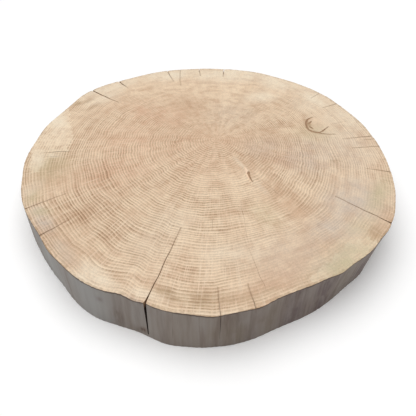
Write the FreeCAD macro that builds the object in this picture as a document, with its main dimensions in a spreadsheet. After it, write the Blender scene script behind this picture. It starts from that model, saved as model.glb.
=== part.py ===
import FreeCAD, Part
import math
import os
import Sketcher

# A slice sawn across an oak trunk, debarked and sanded, lying flat.
# Millimetres and degrees. The origin is the middle of the underside, +Z is up, and -Y is the
# side with the long drying check. Bearings are counted from +X, anticlockwise seen from above.

# Sizes that drive the slice
SIZES = {
    "mean_radius": 200.0,
    "thickness": 50.0,
    "arris": 0.8,
    "pith_x": 11.2,
    "pith_y": 40.3,
    "check_tip_width": 0.1,
    "check_tip_share": 0.25,
    "check_overrun": 14.0,
    "cut_clearance": 1.0,
    "knot_x": 135.0,
    "knot_y": 66.0,
    "knot_radius": 16.0,
    "knot_bearing": 205.0,
    "knot_half_sweep": 95.0,
    "knot_gap": 2.6,
    "knot_gap_depth": 5.0,
    "chip_bearing": -61.5,
    "chip_start": 66.0,
    "chip_length": 18.0,
    "chip_width": 5.0,
    "chip_depth": 2.5,
    "chip_end_width": 0.8,
    "chip_end_depth": 0.5,
}

# How far the rim of the sawn top stands outside (+) or inside (-) the mean circle,
# at the bearing of each station
SWELL = {
    -180: 0.0, -170: -2.0, -160: -2.5, -150: -6.0, -140: -6.0, -130: -3.5,
    -120: -2.5, -110: -5.5, -100: -1.0, -90: 1.5, -80: -1.5, -70: -7.0,
    -60: -6.5, -50: -3.5, -40: 1.0, -30: 3.5, -20: 3.0, -10: 1.0,
    0: -0.5, 10: -1.0, 20: -0.5, 30: -1.0, 40: 1.5, 50: 2.0,
    60: 1.0, 70: 3.0, 80: 2.0, 90: 1.5, 100: 2.0, 110: 3.5,
    120: 3.5, 130: 7.5, 140: 8.0, 150: 2.0, 160: 2.0, 170: 0.0,
}

# How much further out (+) or in (-) the underside is than the top, where the trunk leaned
LEAN = {
    -170: 2.0, -110: 0.5, -100: 2.0, -90: 0.5, -60: -0.5, -50: -3.0, -40: -4.0, -30: -2.0,
    -20: 2.0, -10: 1.0, 50: -1.5, 60: -1.0, 120: 1.5, 130: 1.0,
}

# Drying checks that open at the rim and close towards the pith: the bearing seen from the
# pith, the length in from the mean circle, the width at the rim and the depth at the rim
CHECKS = {
    "front": (-104.8, 92.0, 1.8, 46.0),
    "front_left_a": (-148.7, 40.0, 0.9, 14.0),
    "front_left_b": (-138.0, 30.0, 0.9, 10.0),
    "back_left_a": (147.3, 38.0, 2.0, 22.0),
    "back_left_b": (135.2, 20.0, 1.2, 12.0),
    "back_a": (112.7, 29.0, 1.0, 14.0),
    "back_b": (97.4, 17.0, 0.8, 10.0),
    "back_c": (85.0, 21.0, 1.0, 12.0),
    "right_a": (25.4, 22.0, 0.7, 8.0),
    "right_b": (1.0, 36.0, 1.0, 14.0),
    "right_c": (-4.7, 31.0, 0.6, 8.0),
    "right_d": (-17.5, 25.0, 0.8, 10.0),
    "front_right": (-38.7, 51.0, 1.4, 30.0),
}

STATIONS = sorted(SWELL)
NODE = "oak_slice"


def word(bearing):
    """A bearing as part of an alias, such as n150 or p040."""
    return ("n%03d" if bearing < 0 else "p%03d") % abs(bearing)


def make_sheet(doc):
    """The driving dimensions, one to a cell, each with an alias."""
    sheet = doc.addObject("Spreadsheet::Sheet", "sizes")
    cells = dict(SIZES)
    cells.update({"swell_" + word(b): v for b, v in SWELL.items()})
    cells.update({"lean_" + word(b): v for b, v in LEAN.items()})
    for name, (bearing, length, width, depth) in CHECKS.items():
        cells[name + "_bearing"] = bearing
        cells[name + "_length"] = length
        cells[name + "_width"] = width
        cells[name + "_depth"] = depth
        cells[name + "_rim"] = rim_from_pith(name + "_bearing")
    for row, (alias, value) in enumerate(cells.items(), start=1):
        sheet.set("A%d" % row, alias)
        sheet.set("B%d" % row, str(value))
        sheet.setAlias("B%d" % row, alias)
    doc.recompute()
    return sheet


def rim_from_pith(bearing):
    """Formula for the distance from the pith to the mean circle along a bearing."""
    along = "(pith_x * cos(%s) + pith_y * sin(%s))" % (bearing, bearing)
    return "=sqrt(mean_radius^2 - pith_x^2 - pith_y^2 + %s^2) - %s" % (along, along)


def ground_plane(body):
    """The body's own horizontal plane."""
    return next(f for f in body.Origin.OriginFeatures if f.Role == "XY_Plane")


def bind(feature, bindings):
    """Tie a feature's properties to cells of the sheet."""
    for prop, expression in bindings.items():
        feature.setExpression(prop, expression)


def on_stations(radii):
    """Points round the rim, one for each station."""
    return [
        FreeCAD.Vector(r * math.cos(math.radians(b)), r * math.sin(math.radians(b)), 0)
        for b, r in zip(STATIONS, radii)
    ]


def smooth_poles(points, passes=40):
    """Poles of the closed cubic curve that runs through the points."""
    poles = list(points)
    for _ in range(passes):
        for i, point in enumerate(points):
            neighbours = poles[i - 1] + poles[(i + 1) % len(poles)]
            poles[i] = (point * 6 - neighbours) * 0.25
    return poles


def rim_sketch(body, name, lean, height, inset=None):
    """A closed curve through the rim's stations, each held by a bearing and a reach."""
    sketch = body.newObject("Sketcher::SketchObject", name)
    sketch.AttachmentSupport = (ground_plane(body), [""])
    sketch.MapMode = "FlatFace"
    if height:
        sketch.setExpression("AttachmentOffset.Base.z", height)
    base = SIZES["mean_radius"] - (SIZES[inset] if inset else 0.0)
    radii = [base + SWELL[b] + lean.get(b, 0.0) for b in STATIONS]
    points = on_stations(radii)
    curve = Part.BSplineCurve()
    curve.buildFromPolesMultsKnots(poles=smooth_poles(points), periodic=True, degree=3)
    sketch.exposeInternalGeometry(sketch.addGeometry(curve, False))
    knots = [i for i, g in enumerate(sketch.Geometry) if isinstance(g, Part.Point)]
    first = sketch.GeometryCount
    centre = FreeCAD.Vector()
    sketch.addGeometry([Part.LineSegment(centre, p) for p in points], True)

    rules = []
    reaches = {}
    for i, (bearing, point, radius) in enumerate(zip(STATIONS, points, radii)):
        line = first + i
        knot = min(knots, key=lambda k: math.hypot(
            sketch.Geometry[k].X - point.x, sketch.Geometry[k].Y - point.y))
        rules.append(Sketcher.Constraint("Coincident", line, 1, -1, 1))
        rules.append(Sketcher.Constraint("Coincident", knot, 1, line, 2))
        if bearing % 180 == 0:
            rules.append(Sketcher.Constraint("PointOnObject", line, 2, -1))
        else:
            rules.append(Sketcher.Constraint("Angle", -1, 1, line, 1, math.radians(bearing)))
        reaches[bearing] = sketch.ConstraintCount + len(rules)
        rules.append(Sketcher.Constraint("Distance", line, radius))
    sketch.addConstraint(rules)
    for bearing, index in reaches.items():
        sketch.renameConstraint(index, "reach_" + word(bearing))
        reach = "sizes.mean_radius + sizes.swell_" + word(bearing)
        if bearing in lean:
            reach += " + sizes.lean_" + word(bearing)
        if inset:
            reach += " - sizes." + inset
        sketch.setExpression("Constraints.reach_" + word(bearing), reach)
    return sketch


def loft_trunk(doc, body):
    """The slice's own solid, with the sander's small bevel along both rims."""
    underside = rim_sketch(body, "underside_edge", LEAN, None, "arris")
    sections = [
        rim_sketch(body, "underside_rim", LEAN, "sizes.arris"),
        rim_sketch(body, "top_rim", {}, "sizes.thickness - sizes.arris"),
        rim_sketch(body, "top_edge", {}, "sizes.thickness", "arris"),
    ]
    loft = body.newObject("PartDesign::AdditiveLoft", "trunk_section")
    loft.Profile = underside
    loft.Sections = sections
    loft.Ruled = True
    doc.recompute()
    return loft


def radial_cut(body, name, bearing, bindings):
    """A wedge taken out of the top along a bearing from the pith, its sizes tied to cells."""
    cut = body.newObject("PartDesign::SubtractiveWedge", name)
    cut.AttachmentSupport = (ground_plane(body), [""])
    cut.MapMode = "FlatFace"
    turn = FreeCAD.Rotation(FreeCAD.Vector(0, 0, 1), 90)
    cut.AttachmentOffset = FreeCAD.Placement(FreeCAD.Vector(), turn)
    bind(cut, {
        "AttachmentOffset.Base.x": "sizes.pith_x",
        "AttachmentOffset.Base.y": "sizes.pith_y",
        "AttachmentOffset.Base.z": "sizes.thickness",
        "AttachmentOffset.Rotation.Angle": bearing + " - 90",
        "Zmax": "sizes.cut_clearance",
        "Z2max": "sizes.cut_clearance",
    })
    bind(cut, bindings)
    return cut


def open_check(body, name):
    """One drying check: widest and deepest at the rim, closing towards the pith."""
    size = "sizes." + name + "_"
    growth = "(1 + sizes.check_overrun / %slength)" % size
    tip_depth = "%sdepth * sizes.check_tip_share" % size
    half_width = "%swidth / 2 * %s" % (size, growth)
    return radial_cut(body, "check_" + name, size + "bearing", {
        "Ymin": "%srim - %slength" % (size, size),
        "Ymax": "%srim + sizes.check_overrun" % size,
        "Xmin": "-sizes.check_tip_width / 2",
        "Xmax": "sizes.check_tip_width / 2",
        "X2min": "-" + half_width,
        "X2max": half_width,
        "Zmin": "-" + tip_depth,
        "Z2min": "-(%s + (%sdepth - %s) * %s)" % (tip_depth, size, tip_depth, growth),
    })


def tear_chip(body):
    """The small hollow near the middle where the saw tore a chip out of the grain."""
    return radial_cut(body, "chip", "sizes.chip_bearing", {
        "Ymin": "sizes.chip_start",
        "Ymax": "sizes.chip_start + sizes.chip_length",
        "Xmin": "-sizes.chip_width / 2",
        "Xmax": "sizes.chip_width / 2",
        "X2min": "-sizes.chip_end_width / 2",
        "X2max": "sizes.chip_end_width / 2",
        "Zmin": "-sizes.chip_depth",
        "Z2min": "-sizes.chip_end_depth",
    })


def knot_sketch(body):
    """The crescent gap round a knot: two arcs that meet at its horns."""
    sketch = body.newObject("Sketcher::SketchObject", "knot_crescent")
    sketch.AttachmentSupport = (ground_plane(body), [""])
    sketch.MapMode = "FlatFace"
    turn = FreeCAD.Rotation(FreeCAD.Vector(0, 0, 1), SIZES["knot_bearing"])
    sketch.AttachmentOffset = FreeCAD.Placement(FreeCAD.Vector(), turn)
    radius = SIZES["knot_radius"]
    sweep = math.radians(SIZES["knot_half_sweep"])
    apex = radius - SIZES["knot_gap"]
    horn_x = radius * math.cos(sweep)
    inner_x = (radius ** 2 - apex ** 2) / (2 * (horn_x - apex))
    inner_radius = apex - inner_x
    inner_sweep = math.atan2(radius * math.sin(sweep), horn_x - inner_x)
    up = FreeCAD.Vector(0, 0, 1)
    outer_circle = Part.Circle(FreeCAD.Vector(), up, radius)
    inner_circle = Part.Circle(FreeCAD.Vector(inner_x, 0, 0), up, inner_radius)
    outer = sketch.addGeometry(Part.ArcOfCircle(outer_circle, -sweep, sweep), False)
    inner = sketch.addGeometry(Part.ArcOfCircle(inner_circle, -inner_sweep, inner_sweep), False)
    horn = FreeCAD.Vector(horn_x, radius * math.sin(sweep), 0)
    spoke = sketch.addGeometry(Part.LineSegment(FreeCAD.Vector(), horn), True)
    middle = sketch.addGeometry(Part.Point(FreeCAD.Vector(apex, 0, 0)), True)
    sketch.addConstraint([
        Sketcher.Constraint("Coincident", outer, 3, -1, 1),
        Sketcher.Constraint("Coincident", outer, 1, inner, 1),
        Sketcher.Constraint("Coincident", outer, 2, inner, 2),
        Sketcher.Constraint("PointOnObject", inner, 3, -1),
        Sketcher.Constraint("Coincident", spoke, 1, -1, 1),
        Sketcher.Constraint("Coincident", spoke, 2, outer, 2),
        Sketcher.Constraint("PointOnObject", middle, 1, -1),
        Sketcher.Constraint("PointOnObject", middle, 1, inner),
    ])
    held = {
        "radius": Sketcher.Constraint("Radius", outer, radius),
        "half_sweep": Sketcher.Constraint("Angle", -1, 1, spoke, 1, sweep),
        "apex": Sketcher.Constraint("DistanceX", -1, 1, middle, 1, apex),
    }
    for name, rule in held.items():
        sketch.renameConstraint(sketch.addConstraint(rule), name)
    bind(sketch, {
        "AttachmentOffset.Base.x": "sizes.knot_x",
        "AttachmentOffset.Base.y": "sizes.knot_y",
        "AttachmentOffset.Base.z": "sizes.thickness",
        "AttachmentOffset.Rotation.Angle": "sizes.knot_bearing",
        "Constraints.radius": "sizes.knot_radius",
        "Constraints.half_sweep": "sizes.knot_half_sweep",
        "Constraints.apex": "sizes.knot_radius - sizes.knot_gap",
    })
    return sketch


def sink_knot(body):
    """The gap where the knot shrank away from the wood round it."""
    gap = body.newObject("PartDesign::Pocket", "knot_gap")
    gap.Profile = knot_sketch(body)
    gap.Type = "Length"
    gap.setExpression("Length", "sizes.knot_gap_depth")
    return gap


def make_slice(doc):
    """The whole slice, one piece of wood."""
    body = doc.addObject("PartDesign::Body", NODE)
    body.Label = NODE
    doc.recompute()
    loft_trunk(doc, body)
    cuts = [open_check(body, name) for name in CHECKS]
    cuts.append(sink_knot(body))
    cuts.append(tear_chip(body))
    doc.recompute()
    for cut in cuts:
        if len(cut.Shape.Faces) <= len(cut.BaseFeature.Shape.Faces):
            raise RuntimeError(cut.Name + " leaves no faces of its own in the wood")
    return body


def refuse_failures(doc, body):
    """Stop on any failed object or on a shape that isn't one valid solid."""
    for thing in doc.Objects:
        if {"Invalid", "Error"} & set(thing.State):
            raise RuntimeError("%s failed: %s" % (thing.Name, thing.State))
    shape = body.Shape
    if shape.isNull() or not shape.isValid() or len(shape.Solids) != 1:
        raise RuntimeError(body.Label + " is not one valid solid")


def main():
    doc = FreeCAD.newDocument("oak_slice")
    make_sheet(doc)
    body = make_slice(doc)
    refuse_failures(doc, body)
    os.makedirs("parts", exist_ok=True)
    body.Shape.exportStep(os.path.join("parts", NODE + ".step"))
    box = body.Shape.BoundBox
    print("box %.1f x %.1f x %.1f mm, middle %.2f, %.2f, volume %.0f cm3" % (
        box.XLength, box.YLength, box.ZLength, box.Center.x, box.Center.y,
        body.Shape.Volume / 1000))


main()
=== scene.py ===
"""A slice of oak: sawn across the trunk, peeled of its bark, dried and sanded on top.

The slice is one closed mesh. Its rows are rings about the pith, and they take their outline from the solid.
The drying checks, the knot's crack and the torn chip are cut into it as real gaps.
"""

import math

import bpy
import numpy as np
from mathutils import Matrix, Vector
from mathutils.bvhtree import BVHTree


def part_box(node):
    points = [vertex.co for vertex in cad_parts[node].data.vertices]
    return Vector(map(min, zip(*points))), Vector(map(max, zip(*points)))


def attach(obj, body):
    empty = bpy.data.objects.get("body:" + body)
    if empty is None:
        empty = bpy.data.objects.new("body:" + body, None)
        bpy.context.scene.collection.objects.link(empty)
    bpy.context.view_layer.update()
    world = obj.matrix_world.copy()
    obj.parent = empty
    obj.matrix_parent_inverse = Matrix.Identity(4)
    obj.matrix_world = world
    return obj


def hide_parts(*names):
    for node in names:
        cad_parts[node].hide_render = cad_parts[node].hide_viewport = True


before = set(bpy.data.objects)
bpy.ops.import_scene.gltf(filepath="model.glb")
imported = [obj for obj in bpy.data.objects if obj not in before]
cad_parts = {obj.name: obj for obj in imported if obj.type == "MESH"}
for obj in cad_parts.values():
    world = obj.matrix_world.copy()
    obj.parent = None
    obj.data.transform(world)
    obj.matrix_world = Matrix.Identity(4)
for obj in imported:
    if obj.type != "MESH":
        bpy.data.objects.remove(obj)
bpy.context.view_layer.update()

bl_info = {
    "name": "Oak slice",
    "version": (1, 0, 0),
    "blender": (4, 5, 0),
    "location": "View3D > Sidebar > Oak slice",
    "description": "Builds a sanded oak slice with its rings, drying checks and knot",
    "category": "Add Mesh",
}

NODE = "oak_slice"
BODY = "root"
PIECE = "sanded_oak_slice"

MM = 0.001
TURN = 2 * math.pi
SEED = 1846

# The slice's own places, in millimetres in the frame of the part, as in its solid.
PITH = np.array([11.2, 40.3])
MEAN_RADIUS = 200.0
BOTTOM, TOP = (corner.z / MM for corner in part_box(NODE))

# Columns round the trunk. The inner rows have a half, a quarter and an eighth of them.
COLUMNS = 1200

# Rows of the side, and how far they keep from its rounded edges.
SIDE_ROWS = 17
SIDE_MARGIN = 3.2

# Rows of the two faces, from the edge to the pith: which columns they keep, and their shares of the reach.
EDGE_SHARES = 1 - np.array([0.0, 1.0, 2.2, 3.8, 6.0]) / MEAN_RADIUS
UPPER_ROWS = (
    (1, EDGE_SHARES),
    (2, np.linspace(0.96, 0.46, 42)),
    (4, np.linspace(0.44, 0.2, 12)),
    (8, np.linspace(0.17, 0.03, 6)),
)
LOWER_ROWS = (
    (1, EDGE_SHARES[:3]),
    (2, np.linspace(0.97, 0.5, 15)),
    (4, np.linspace(0.45, 0.2, 6)),
    (8, np.linspace(0.15, 0.04, 3)),
)

# Edges that turn by more than this are shaded sharp.
SHARP_ANGLE = math.radians(38)

# The gaps run out past the rim by this much, so that they open it cleanly.
OVERRUN = 9.0

# Steps along the checks, the hairlines, and the knot's cracks with the chip.
CHECK_STEP, HAIRLINE_STEP, TORN_STEP = 4.0, 3.0, 1.3

# The thinnest and the shallowest that each kind of gap may be, and the share by which it narrows downward.
CHECK_LIMITS = (0.12, 0.4, 0.65)
HAIRLINE_LIMITS = (0.1, 0.3, 0.6)
TORN_LIMITS = (0.2, 0.35, 0.7)

# The distance to a check is stored up to this many millimetres, and the underside lies as far from sapwood.
FAR = 20

# The saw moved on by this much from each tooth mark to the next.
SAW_STEP = 4.5

# Numbers of the materials on the piece, and where each lies on the map for baking: left, bottom, width and
# height. The peeled side lies there in strips, one above the other.
SANDED, PEELED, ROUGH_SAWN, SPLIT, TORN = range(5)
MAP_ROOM = {
    SANDED: (0.005, 0.295, 0.7, 0.7),
    PEELED: (0.005, 0.004, 0.98, 0.088),
    ROUGH_SAWN: (0.715, 0.715, 0.28, 0.28),
    SPLIT: (0.715, 0.4, 0.28, 0.28),
    TORN: (0.715, 0.3, 0.28, 0.08),
}
STRIPS = 3
STRIP_PITCH = 95 / 88

# Checks that open at the rim: bearing of the rim end about the pith in degrees, turn of the inner end from
# it, length inward, width and depth at the rim, and the share of the width that runs on along the face.
RIM_CHECKS = {
    "front": (-105.3, 1.2, 92, 2.7, 46, 0.27),
    "front_centre": (-89.7, -0.6, 30, 0.45, 47, 0.62),
    "front_short": (-82.5, -0.6, 27, 0.5, 8, 0.62),
    "front_left_a": (-148.9, -0.3, 44, 0.95, 14, 0.5),
    "front_left_b": (-138, 0, 33, 1, 10, 0.55),
    "back_left_a": (146.8, 1.2, 47, 1.8, 22, 0.95),
    "back_left_b": (135.2, 0.7, 22, 1.4, 12, 0.9),
    "back_a": (112.8, 0.6, 29, 1, 14, 0.62),
    "back_faint": (106.6, 4.7, 40, 0.35, 1, 0.62),
    "back_b": (97.6, 0.3, 19, 0.8, 10, 0.62),
    "back_c": (85.4, 0.1, 20, 1.1, 12, 0.9),
    "right_faint": (36.1, -0.9, 18, 0.4, 1, 0.62),
    "right_a": (25.7, 0.1, 22, 0.75, 8, 0.62),
    "right_b": (1.9, -1.8, 36, 0.9, 14, 0.62),
    "right_b_fork": (0, -0.3, 13, 0.4, 2, 0.62),
    "right_c": (-4.1, -2.2, 31, 0.55, 4, 0.62),
    "right_d": (-17.4, -0.6, 26, 0.85, 8, 0.62),
    "front_right": (-38.8, 0, 62, 2.1, 30, 0.36),
}

# Bulges and hollows of the side that the solid's outline leaves out: bearing and spread to each side in
# degrees, and how far out the side stands at the foot and at the rim. At the front right it is undercut.
BULGES = (
    (-132, 4, -1.2, 1.2), (-119, 6, 0.8, 0.5), (-111.4, 1.8, 0.3, -1), (-107.8, 1.6, 0, 1.2),
    (-97, 3.5, -0.8, -0.7), (-91, 2, -0.5, 1), (-81, 2.6, 0.5, 2), (-68, 3, -0.7, 0.2),
    (-61, 2.8, 0, 2), (-53, 7, -3, 0.3), (-45, 2.5, -0.6, -1), (-38.5, 6, -10, 0),
    (-28, 7.5, -5.5, 0), (20, 14, 0.6, 0.9), (54, 10, 0.5, 0.8),
)

# Hairlines inside the face: bearing of the outer end about the pith, turn of the inner end from it, nearest
# and furthest reach from the pith, width and depth.
HAIRLINES = {
    "left": (-172.5, 0.3, 164, 199, 0.7, 1.3),
    "left_low": (-170.9, 1.8, 175, 198, 0.3, 0.7),
    "left_below": (-162.6, 1.3, 168, 206, 0.22, 0.6),
    "front_a": (-92, 0, 129, 149, 0.2, 0.5),
    "front_b": (-87.9, -0.3, 180, 195, 0.2, 0.5),
    "front_right_a": (-80.3, 3.1, 104, 165, 0.2, 0.5),
    "front_right_b": (-79.2, -1.2, 165, 226, 0.26, 0.6),
    "right": (12.8, -0.9, 141, 164, 0.28, 0.6),
    "beside_chip": (-56.1, -0.2, 86, 124, 0.24, 0.6),
}

# The knot, the crack that opens round its left and front, with a branch and two flaws, and the torn chip, a
# shallow pit with a pale slope beside it: the material, and x, y, width and depth of each station.
KNOT = np.array([134, 65])
KNOT_RADIUS = 15.0
TORN_LINES = {
    "knot_crack": (
        SPLIT,
        (129.4, 84.6, 0.6, 0.4), (125.6, 82, 2.2, 0.7), (122.4, 78.4, 2.4, 0.8), (119.8, 72.4, 2.4, 0.7),
        (119.6, 65.2, 2.4, 0.7), (120.8, 59.4, 3, 0.7), (124.2, 55.4, 3.2, 0.7), (129.2, 53.4, 2.8, 0.7),
        (135, 54.2, 2, 0.7), (140, 58.8, 1.3, 0.8), (145.8, 64.8, 0.4, 0.4),
    ),
    "knot_branch": (
        SPLIT,
        (129.4, 53.2, 1.2, 0.7), (134.4, 51.2, 1.4, 0.7), (142.4, 49.6, 1.1, 0.6), (151, 49.6, 0.3, 0.4),
    ),
    "knot_flaw_above": (
        SPLIT,
        (127.2, 76.4, 0.4, 0.4), (125.2, 73.4, 2.2, 0.7), (122.8, 70, 0.6, 0.4),
    ),
    "knot_flaw_below": (
        SPLIT,
        (122.6, 65.4, 0.6, 0.4), (124.8, 62.8, 2.2, 0.7), (126.8, 59.8, 0.4, 0.4),
    ),
    "chip_pit": (
        SPLIT,
        (45.2, -18, 5.2, 0.7), (45.4, -19.8, 4.8, 0.7), (45.4, -22, 3.2, 0.8), (45.8, -25, 2, 0.7),
        (47.2, -30, 1.2, 0.8), (49, -35, 0.4, 0.4),
    ),
    "chip_slope": (
        TORN,
        (41.6, -10, 0.8, 0.4), (42.6, -13, 3, 0.5), (43.6, -16.6, 5, 0.6), (43.2, -21, 2.8, 0.7),
        (44.4, -27, 1.8, 0.6), (47, -35, 0.4, 0.4),
    ),
}

# These cross other gaps, and they are cut after them.
CROSSING = ("right_b_fork", "front_right_b", "knot_branch", "chip_slope")

# Where the rings bulge outward to a crease below the chip: bearing, spread to each side, share of their
# reach, nearest and furthest reach, and over what length the bulge comes and goes.
CREASE = (-59, 12, 0.07, 60, 180, 25, 40)

# Soft spots of the sanded face: x, y, reach along a bearing, reach across it, the bearing and the amount.
# Most are tints. Rings are fainter in the calm ones and stronger in the crisp ones.
FACE_SPOTS = {
    "heart": (
        (-22, 104, 30, 26, 110, 1), (-36, 62, 26, 18, 130, 0.8), (-18, 45, 40, 22, 0, 0.8),
        (28, 36, 34, 18, 0, 0.6), (62, 40, 34, 24, 10, 1), (66, 10, 26, 20, 0, 0.9),
        (86, -66, 48, 14, -57, 1), (131, 62, 26, 18, 0, 0.7), (-130, -92, 50, 30, 50, 0.65),
        (45, -2, 24, 16, -50, 0.6), (-184, -30, 13, 40, 12, 0.6), (-158, -22, 24, 26, 10, 0.9),
        (-136, 104, 12, 12, 45, 0.4), (96, -126, 34, 26, 20, 0.7), (183, -88, 22, 10, -62, 0.9),
        (-164, -52, 18, 14, 0, 0.6), (-112, -30, 24, 20, 0, 0.6), (74, -150, 34, 20, 20, 1),
        (-42, 14, 16, 14, 0, 0.6), (62, -62, 20, 12, -50, 0.5), (-124, -129, 20, 11, -50, 0.8),
        (-72, -30, 20, 14, 0, 0.5), (168, -106, 15, 11, 40, 0.8),
    ),
    "blush": (
        (-98, -16, 50, 32, 30, 0.8), (-66, 88, 44, 28, 150, 0.9), (-92, 38, 46, 38, 0, 0.8),
        (-104, 104, 34, 30, 0, 0.3), (-20, 20, 60, 50, 0, 0.4), (-177, 112, 8, 6, 45, 0.8),
        (-40, -150, 50, 26, 0, 0.2), (60, -164, 30, 12, 20, 0.3), (95, 8, 30, 24, 0, 0.5),
    ),
    "greying": (
        (122, 8, 38, 34, 0, 0.6), (156, -78, 12, 10, 0, 0.8), (150, -62, 30, 40, -33, 1),
        (120, -100, 34, 20, 35, 0.8), (163, 22, 30, 40, 0, 0.5), (30, 92, 30, 26, 0, 0.25),
        (-160, -90, 20, 8, -55, 1), (-132, -130, 24, 8, -50, 0.5), (-60, -187, 16, 3, -28, 0.8),
        (84, -134, 50, 34, 20, 0.4), (140, -108, 16, 10, 30, 0.6), (66, 24, 24, 20, 0, 0.4),
        (118, -140, 34, 14, 40, 0.55), (104, -146, 15, 9, 35, 0.7),
    ),
    "olive": (
        (178, -54, 30, 10, 61, 0.7), (128, -143, 44, 18, 38, 0.75), (150, -100, 20, 12, 40, 0.4),
        (-163, -80, 9, 6, 0, 0.8), (-176, -56, 12, 8, 80, 0.6), (60, -84, 20, 12, -56, 0.4),
        (-170, -10, 22, 26, 0, 0.5), (128, 53, 24, 16, 0, 0.5),
    ),
    "cream": (
        (-128, 156, 46, 16, 36, 1), (-50, 186, 46, 16, 8, 1), (30, 186, 56, 20, 0, 1),
        (92, 166, 40, 18, -35, 1), (140, 126, 36, 18, -47, 1), (168, 86, 32, 16, -60, 0.8),
        (150, 54, 24, 30, 0, 0.4), (-97, -159, 23, 9, -44, 1), (-82, -170, 16, 6, -32, 0.6),
        (-50, -180, 22, 5, -20, 0.6), (0, -199, 60, 3, 0, 0.5), (-51, -122, 26, 40, -20, 0.3),
        (37, -4, 14, 2.5, -60, 0.6), (57, -44, 14, 3, -56, 0.5), (134, 66, 10, 8, 0, 0.2),
        (-180, 78, 26, 9, 110, 1), (-186, 2, 14, 8, 95, 0.9), (-170, 10, 7, 4, 0, 0.8),
        (-130, 128, 26, 12, 40, 0.8), (72, 130, 22, 14, 10, 0.8), (154, 82, 22, 18, -60, 0.7),
        (-101, -167, 20, 5, -38, 0.9), (23, -134, 26, 16, 0, 0.5), (-34, -92, 24, 20, 0, 0.4),
        (128, 112, 34, 20, -50, 0.5), (-182, -46, 9, 14, -30, 0.7),
    ),
    "calm": (
        (16, 46, 60, 26, 0, 0.6), (-10, 150, 150, 42, 0, 0.75), (88, -78, 40, 8, -58, 1.2),
        (150, -60, 34, 60, -33, 0.8), (-130, 118, 40, 30, 45, 0.5), (134, 65, 24, 20, 0, 0.8),
        (128, -120, 44, 26, 35, 0.8), (-100, -158, 50, 8, -42, 0.7), (-157, -33, 22, 20, 0, 0.8),
        (78, -142, 62, 34, 30, 1), (170, 20, 30, 40, 0, 0.6), (-70, 60, 60, 40, 0, 0.3),
        (-24, 96, 50, 34, 0, 0.6), (28, -20, 24, 26, 0, 0.7), (54, -50, 24, 16, -50, 0.6),
        (168, -88, 26, 20, -45, 0.9),
    ),
    "crisp": ((-132, -78, 40, 26, 60, 0.7), (-100, -120, 30, 20, 40, 0.4)),
    "stain": (
        (-34, -177, 10, 4, -20, 1), (-27, -184, 8, 3, -15, 0.8), (-6, -185, 18, 8, 0, 0.6),
        (16, -184, 12, 6, 0, 0.45), (36, -183, 12, 6, 10, 0.3), (55, -176, 9, 4, 20, 0.3),
        (90, -174, 8, 3, 25, 0.3), (-162, 114, 6, 4, 55, 0.7), (-150, 120, 12, 3, 45, 0.5),
        (-140, 108, 14, 3, 45, 0.4), (166, -108, 9, 10, -35, 0.25), (142, 0, 6, 3, 20, 0.5),
        (121, 70, 4, 10, 0, 0.8), (127, 54, 7, 3, -30, 0.6),
    ),
}

# Sapwood that shows paler beside the heartwood, at the left and the front right, as outlines on the face.
SAPWOOD = (
    (
        (-176, 106), (-167.4, 94.9), (-168.5, 82), (-160, 61), (-155, 41), (-155.3, 26.2), (-158.1, 17),
        (-167.5, 13.4), (-173.4, 4.5), (-179.1, -9.4), (-184.6, -22.8), (-189.7, -19.5), (-193, 1),
        (-197, 15), (-214, 47), (-206, 82), (-190, 110),
    ),
    (
        (152, -114), (136, -117), (128, -124), (119, -133), (112, -142), (105, -149), (98, -155),
        (89, -164), (104, -176), (130, -166), (146, -152), (162, -136), (166, -126), (159, -117),
    ),
)

# Zones of the peeled side: x, y, height, reach round, reach up and the amount.
SIDE_SPOTS = {
    # Brown blotches of the inner bark. The faint ones at x 22, 48, 100 and 190, at 0.3 to 0.5, are painted
    # shade that darkens the side towards the front right.
    "blotch_and_shade": (
        (-79, -179, 16, 5, 14, 0.8), (-94, -173, 34, 3, 4, 0.6), (-62, -186, 6, 6, 6, 0.5),
        (-56.5, -188.5, 8.5, 4, 3.4, 1.7), (22, -199, 44, 10, 16, 0.5), (48, -190, 30, 8, 16, 0.4),
        (100, -168, 18, 9, 14, 0.35), (-150, 140, 22, 16, 14, 0.5), (60, 196, 18, 14, 12, 0.4),
        (190, -60, 26, 10, 14, 0.3),
    ),
    # Purplish brown, which is also painted shade: it darkens the side towards the front right, where less
    # light falls.
    "umber_and_shade": (
        (36, -194, 25, 14, 90, 0.4), (80, -176, 25, 15, 90, 1), (108, -160, 25, 17, 90, 1.2),
        (152, -129, 25, 14, 90, 1.2), (-40, 200, 25, 60, 90, 0.7),
    ),
    "tawny": (
        (26, -198, 20, 13, 30, 1), (57, -186, 30, 8, 30, 0.8), (128, -147, 25, 10, 30, 0.9),
        (8, -202, 30, 8, 40, 0.6), (-18, -200, 30, 8, 40, 0.3),
    ),
    "smooth": (
        (-106, -167, 25, 30, 90, 1), (-150, -120, 25, 40, 90, 1), (130, -147, 25, 9, 90, 0.2),
        (-60, -186, 30, 12, 30, 0.4), (150, 130, 25, 70, 90, 0.8),
    ),
}


def linear(hex_colour):
    """The linear red, green, blue and alpha of an sRGB hex value."""
    parts = [int(hex_colour[i : i + 2], 16) / 255 for i in (1, 3, 5)]
    return [c / 12.92 if c <= 0.04045 else ((c + 0.055) / 1.055) ** 2.4 for c in parts] + [1.0]


def decimal(name, description, default, **settings):
    """A property that holds one number."""
    return bpy.props.FloatProperty(name=name, description=description, default=default, **settings)


def length(name, description, default_mm):
    """A length property with its default in millimetres."""
    return decimal(name, description, default_mm * MM, min=0.0, unit="LENGTH", precision=5)


def share(name, description, default):
    """A property from 0 to 1."""
    return decimal(name, description, default, min=0.0, max=1.0, subtype="FACTOR")


def number(name, description, default):
    """A plain number that is not below 0."""
    return decimal(name, description, default, min=0.0)


def angle(name, description, degrees):
    """An angle property with its default in degrees."""
    return decimal(name, description, math.radians(degrees), subtype="ANGLE")


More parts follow.
